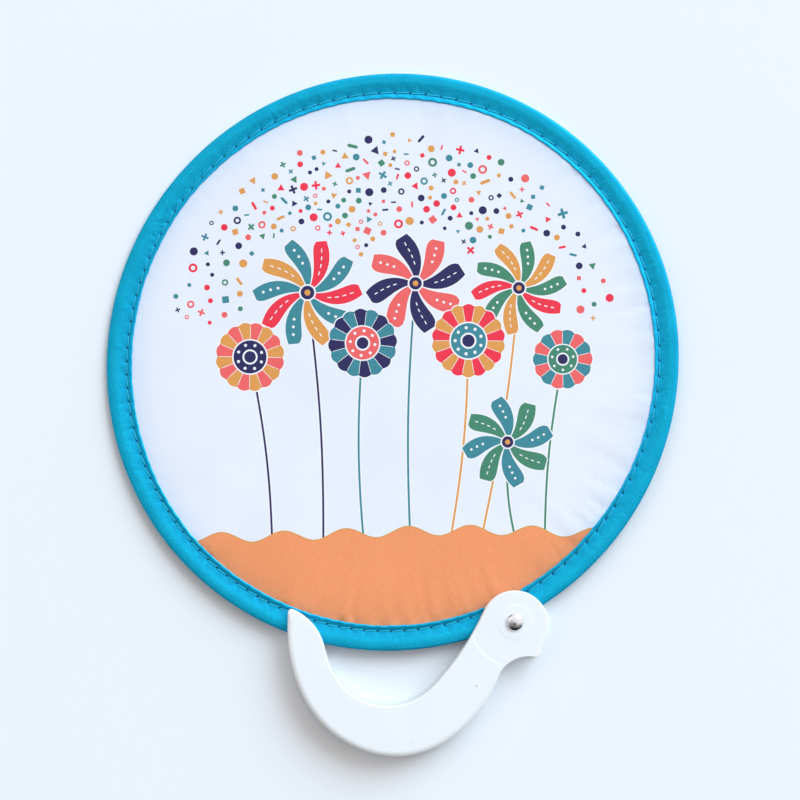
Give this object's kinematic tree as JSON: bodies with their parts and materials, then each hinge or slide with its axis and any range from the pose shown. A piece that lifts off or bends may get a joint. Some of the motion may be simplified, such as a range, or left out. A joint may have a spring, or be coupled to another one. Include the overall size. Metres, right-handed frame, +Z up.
{
  "type": "pop-up hand fan",
  "caption": "Round cloth hand fan on a sprung steel hoop with stitched tape binding and a crescent handle that swings on a rivet at the rim.",
  "frame": {"origin": "middle of the open fan's footprint on the table, at its lowest level, with the handle as pictured", "axes": "+Z up, out of the printed face; +Y from the handle's side of the disc to the far side; +X to the right seen from the front"},
  "size_m": [0.2488, 0.2968, 0.0139],
  "materials": {
    "spring_steel": "satin",
    "printed_cloth": "matte",
    "binding_tape": "satin",
    "thread": "matte",
    "hub_plastic": "satin",
    "handle_plastic": "satin",
    "rivet_steel": "polished"
  },
  "bodies": {
    "fan": {"hoop_wire": "spring_steel", "fan_cloth": "printed_cloth", "edge_binding": "binding_tape", "needle_thread": "thread", "bobbin_thread": "thread", "hub_front_half": "hub_plastic", "hub_rear_half": "hub_plastic"},
    "handle": {"handle_front_shell": "handle_plastic", "handle_rear_shell": "handle_plastic", "pivot_rivet": "rivet_steel", "rivet_washer": "rivet_steel"}
  },
  "joints": [
    {"name": "handle_swing", "type": "hinge", "parent": "fan", "child": "handle", "pos_m": [0.05274, -0.08967, 0.00624], "axis": [0, 0.0205, 0.9998], "range_deg": [0, 118]}
  ]
}
